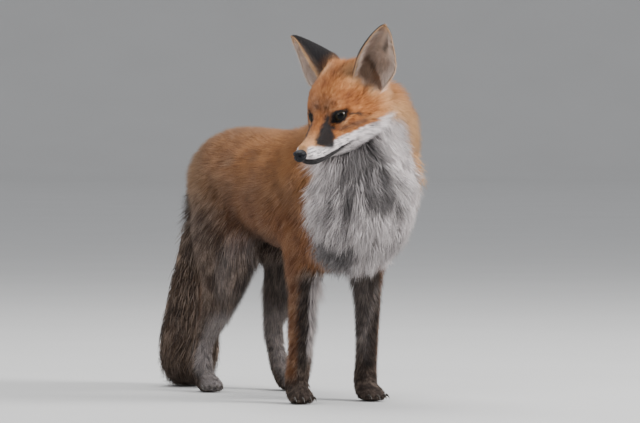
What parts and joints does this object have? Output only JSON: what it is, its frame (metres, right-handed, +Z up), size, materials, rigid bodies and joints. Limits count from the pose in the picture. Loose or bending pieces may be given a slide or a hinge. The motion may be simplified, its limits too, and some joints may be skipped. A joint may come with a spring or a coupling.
{
  "type": "red fox standing model",
  "caption": "Life-size red fox standing on its paws, head turned to its right, ears pricked and brush hanging down; still display model.",
  "frame": {"origin": "on the floor, at the middle of the bottom of the box round the whole fox", "axes": "+Z up, -Y the way the body faces, +X the fox's left; the head is turned 64 degrees towards -X"},
  "size_m": [0.2214, 0.642, 0.5008],
  "materials": {
    "body_coat": "matte guard hair, rust to grey-brown, in tufts that lie back along the body",
    "face_coat": "short matte rust hair with white cheeks and dark tear marks",
    "ear_coat": "short black hair behind, long pale hair inside",
    "ruff_coat": "long off-white hair in locks with black tips",
    "leg_coat": "short dark grey-brown hair, paler on the inner side",
    "tail_coat": "long dusky brown hair with black tips",
    "nose_leather": "moist black pebbled leather",
    "eye": "wet glossy dark amber-brown glass",
    "claw_horn": "dark worn horn"
  },
  "bodies": {
    "root": {"head": "face_coat", "nose": "nose_leather", "eye_left": "eye", "eye_right": "eye", "ear_left": "ear_coat", "ear_right": "ear_coat", "neck": "ruff_coat", "trunk": "body_coat", "tail": "tail_coat", "tail_tip": "tail_coat", "shoulder_front_left": "body_coat", "forearm_front_left": "leg_coat", "paw_front_left": "leg_coat", "shoulder_front_right": "body_coat", "forearm_front_right": "leg_coat", "paw_front_right": "leg_coat", "thigh_hind_left": "body_coat", "hock_hind_left": "leg_coat", "paw_hind_left": "leg_coat", "thigh_hind_right": "body_coat", "hock_hind_right": "leg_coat", "paw_hind_right": "leg_coat"}
  },
  "joints": []
}
